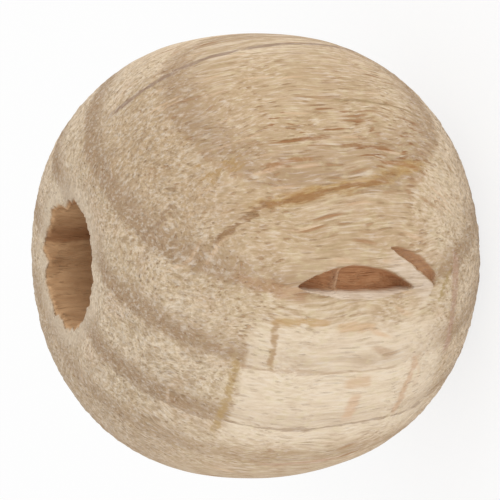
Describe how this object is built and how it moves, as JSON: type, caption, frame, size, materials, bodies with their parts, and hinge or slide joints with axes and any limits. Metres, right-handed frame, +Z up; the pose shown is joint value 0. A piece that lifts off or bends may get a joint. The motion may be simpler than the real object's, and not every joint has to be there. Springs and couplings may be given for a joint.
{
  "type": "wooden bead",
  "caption": "Turned hardwood bead with flat end faces and a straight round bore, threaded on a cord, lace or rod.",
  "frame": {"origin": "middle of the lower end face, on the axis of the bore, where the bead stands", "axes": "+Z up along the bore and the grain; the torn pocket is on the -Y side; +X completes a right-handed frame"},
  "size_m": [0.025, 0.025, 0.0224],
  "materials": {
    "wood": "bare pale hardwood, sanded, with open end grain round the bore"
  },
  "bodies": {
    "root": {"bead": "wood"}
  },
  "joints": []
}
